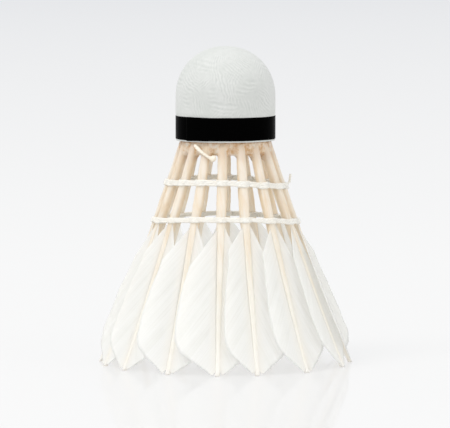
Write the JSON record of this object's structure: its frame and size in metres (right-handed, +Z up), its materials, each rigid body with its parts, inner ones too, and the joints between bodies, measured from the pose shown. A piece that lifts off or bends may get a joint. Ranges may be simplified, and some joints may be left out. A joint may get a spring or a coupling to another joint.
{
  "type": "feather badminton shuttlecock",
  "caption": "Feather shuttlecock standing on its feather tips: overlapping goose feathers set in a skin-covered cork nose, bound by two thread rows, with an edge tape.",
  "frame": {"origin": "on the shuttlecock's axis, in the plane of the feather tips that it stands on", "axes": "+Z up along the axis to the cork nose; -Y is the front, 4 degrees off the nearest feather tip"},
  "size_m": [0.0662, 0.0661, 0.0824],
  "materials": {
    "quill": "satin natural keratin",
    "vane": "soft white feather barbs",
    "cork": "raw cork",
    "leather": "matt white fine-grained skin",
    "tape": "glossy black",
    "thread": "glued twisted thread",
    "glue": "dried clear tan glue",
    "paper": "plain uncoated paper"
  },
  "bodies": {
    "root": {"feather_01_quill": "quill", "feather_01_vane": "vane", "feather_02_quill": "quill", "feather_02_vane": "vane", "feather_03_quill": "quill", "feather_03_vane": "vane", "feather_04_quill": "quill", "feather_04_vane": "vane", "feather_05_quill": "quill", "feather_05_vane": "vane", "feather_06_quill": "quill", "feather_06_vane": "vane", "feather_07_quill": "quill", "feather_07_vane": "vane", "feather_08_quill": "quill", "feather_08_vane": "vane", "feather_09_quill": "quill", "feather_09_vane": "vane", "feather_10_quill": "quill", "feather_10_vane": "vane", "feather_11_quill": "quill", "feather_11_vane": "vane", "feather_12_quill": "quill", "feather_12_vane": "vane", "feather_13_quill": "quill", "feather_13_vane": "vane", "feather_14_quill": "quill", "feather_14_vane": "vane", "feather_15_quill": "quill", "feather_15_vane": "vane", "feather_16_quill": "quill", "feather_16_vane": "vane", "cork_disc": "cork", "cork_nose": "cork", "cork_cover": "leather", "edge_tape": "tape", "base_label": "paper", "thread_row_upper": "thread", "thread_row_lower": "thread", "thread_tail": "thread", "glue_ring": "glue"}
  },
  "joints": []
}
